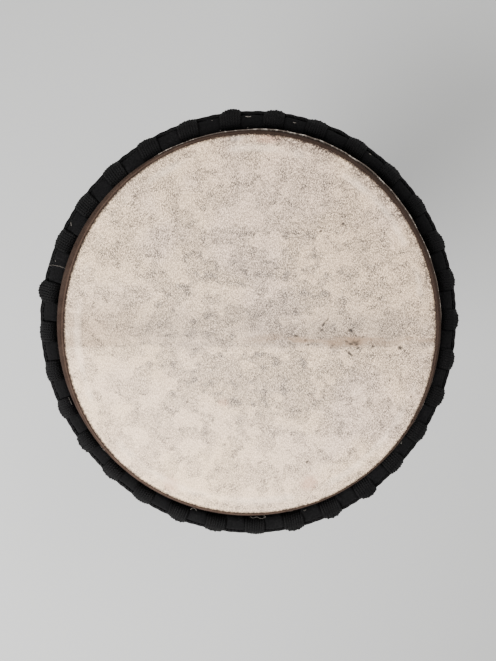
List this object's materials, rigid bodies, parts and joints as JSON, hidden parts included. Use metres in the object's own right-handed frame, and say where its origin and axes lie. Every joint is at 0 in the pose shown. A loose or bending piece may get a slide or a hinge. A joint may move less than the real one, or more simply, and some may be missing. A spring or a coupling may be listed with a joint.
{
  "type": "goblet drum",
  "caption": "Ceremonial goblet drum: a carved wooden shell with a skin head held by a cloth-wrapped ring and tightened by rope lacing.",
  "frame": {"origin": "centre of the foot's underside, on the drum's axis", "axes": "+Z along the drum's axis, from the foot to the head; +X and +Y are the picture's right and up when the head is seen from the front"},
  "size_m": [0.384, 0.3832, 0.6],
  "materials": {
    "wood": "oiled hardwood, hand carved",
    "skin": "shaved goat skin, matte, with stubble at the edge",
    "steel": "bare round bar",
    "cloth": "tightly wound black cotton strip",
    "rope": "braided black polyester rope"
  },
  "bodies": {
    "root": {"shell": "wood", "drum_head": "skin", "flesh_ring": "steel", "crown_ring": "cloth", "crown_loops": "rope", "bottom_ring": "cloth", "bottom_loops": "rope", "lacing_rope": "rope"}
  },
  "joints": []
}
